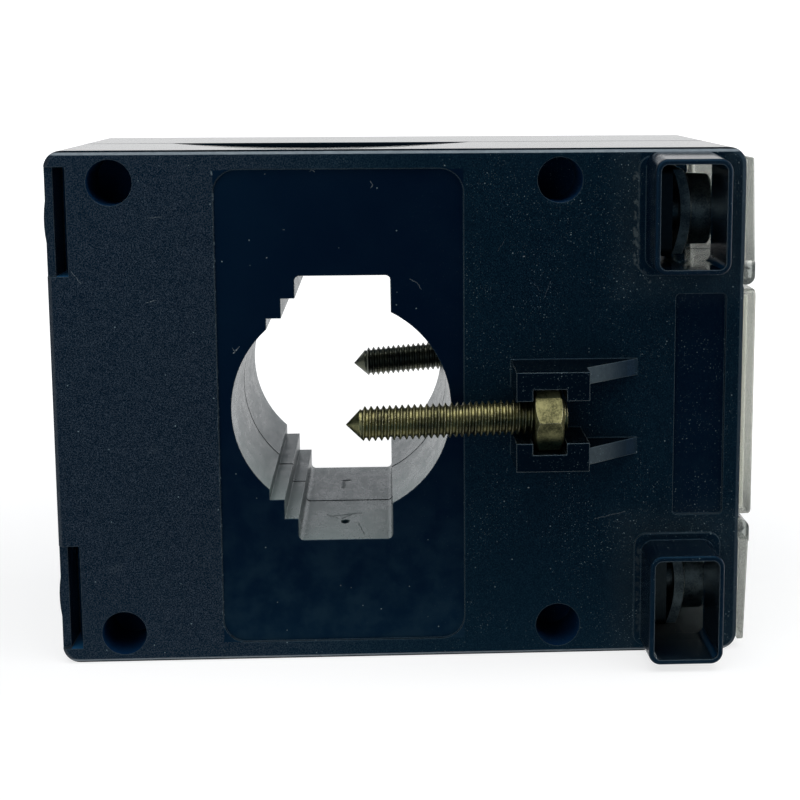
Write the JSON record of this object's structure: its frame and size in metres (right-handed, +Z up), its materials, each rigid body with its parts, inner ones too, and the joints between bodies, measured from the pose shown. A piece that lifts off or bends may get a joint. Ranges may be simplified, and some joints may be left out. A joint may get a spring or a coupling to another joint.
{
  "type": "current transformer",
  "caption": "Window type current transformer in a black moulded case with a stepped opening, clamp screws, shrouded wire entries and clear terminal flaps.",
  "frame": {"origin": "on the axis of the opening, on the seam at half the case's depth", "axes": "+X from the foot side to the terminal end, +Y along the opening from the front face to the rear face, +Z up, across the case as it lies on a long side"},
  "size_m": [0.0815, 0.0518, 0.06],
  "materials": {
    "case_plastic": "fine matt texture",
    "plated_steel": "pale yellow zinc plating",
    "terminal_steel": "bright zinc plating",
    "terminal_brass": "plain",
    "core_steel": "wound strip",
    "copper_wire": "enamelled copper",
    "cup_plastic": "moulded",
    "tape": "wound tape",
    "pad_foam": "soft",
    "lead_sleeve": "smooth",
    "clear_cover": "clear, slightly grey",
    "plate_card": "blank, pale cream"
  },
  "bodies": {
    "case": {"front_shell": "case_plastic", "rear_shell": "case_plastic", "ring_core": "core_steel", "core_cup_front": "cup_plastic", "core_cup_rear": "cup_plastic", "secondary_winding": "copper_wire", "winding_tape": "tape", "core_pad_front": "pad_foam", "core_pad_rear": "pad_foam", "start_lead": "lead_sleeve", "finish_lead": "lead_sleeve", "rating_window": "clear_cover", "rating_plate": "plate_card", "terminal_bar_upper": "terminal_brass", "terminal_bar_lower": "terminal_brass", "clamp_nut_front": "plated_steel", "clamp_nut_rear": "plated_steel"},
    "clamp_front": {"clamp_screw_front": "plated_steel"},
    "clamp_rear": {"clamp_screw_rear": "plated_steel"},
    "flap_upper": {"terminal_flap_upper": "clear_cover"},
    "terminal_upper_front": {"terminal_screw_upper_front": "terminal_steel", "clamp_washer_upper_front": "terminal_steel"},
    "terminal_upper_rear": {"terminal_screw_upper_rear": "terminal_steel", "clamp_washer_upper_rear": "terminal_steel"},
    "flap_lower": {"terminal_flap_lower": "clear_cover"},
    "terminal_lower_front": {"terminal_screw_lower_front": "terminal_steel", "clamp_washer_lower_front": "terminal_steel"},
    "terminal_lower_rear": {"terminal_screw_lower_rear": "terminal_steel", "clamp_washer_lower_rear": "terminal_steel"}
  },
  "joints": [
    {"name": "clamp_front_slide", "type": "slide", "parent": "case", "child": "clamp_front", "axis": [0.9995, 0, 0.0314], "range_m": [-0.0015, 0.013]},
    {"name": "clamp_rear_slide", "type": "slide", "parent": "case", "child": "clamp_rear", "axis": [0.9965, 0, 0.0837], "range_m": [-0.0015, 0.013]},
    {"name": "flap_upper_hinge", "type": "hinge", "parent": "case", "child": "flap_upper", "pos_m": [0.047, 0, 0.0151], "axis": [0, 1, 0], "range_deg": [0, 105]},
    {"name": "terminal_upper_front_slide", "type": "slide", "parent": "case", "child": "terminal_upper_front", "axis": [1, 0, 0], "range_m": [0, 0.0023]},
    {"name": "terminal_upper_rear_slide", "type": "slide", "parent": "case", "child": "terminal_upper_rear", "axis": [1, 0, 0], "range_m": [0, 0.0023]},
    {"name": "flap_lower_hinge", "type": "hinge", "parent": "case", "child": "flap_lower", "pos_m": [0.047, 0, -0.0151], "axis": [0, -1, 0], "range_deg": [0, 105]},
    {"name": "terminal_lower_front_slide", "type": "slide", "parent": "case", "child": "terminal_lower_front", "axis": [1, 0, 0], "range_m": [0, 0.0023]},
    {"name": "terminal_lower_rear_slide", "type": "slide", "parent": "case", "child": "terminal_lower_rear", "axis": [1, 0, 0], "range_m": [0, 0.0023]}
  ]
}
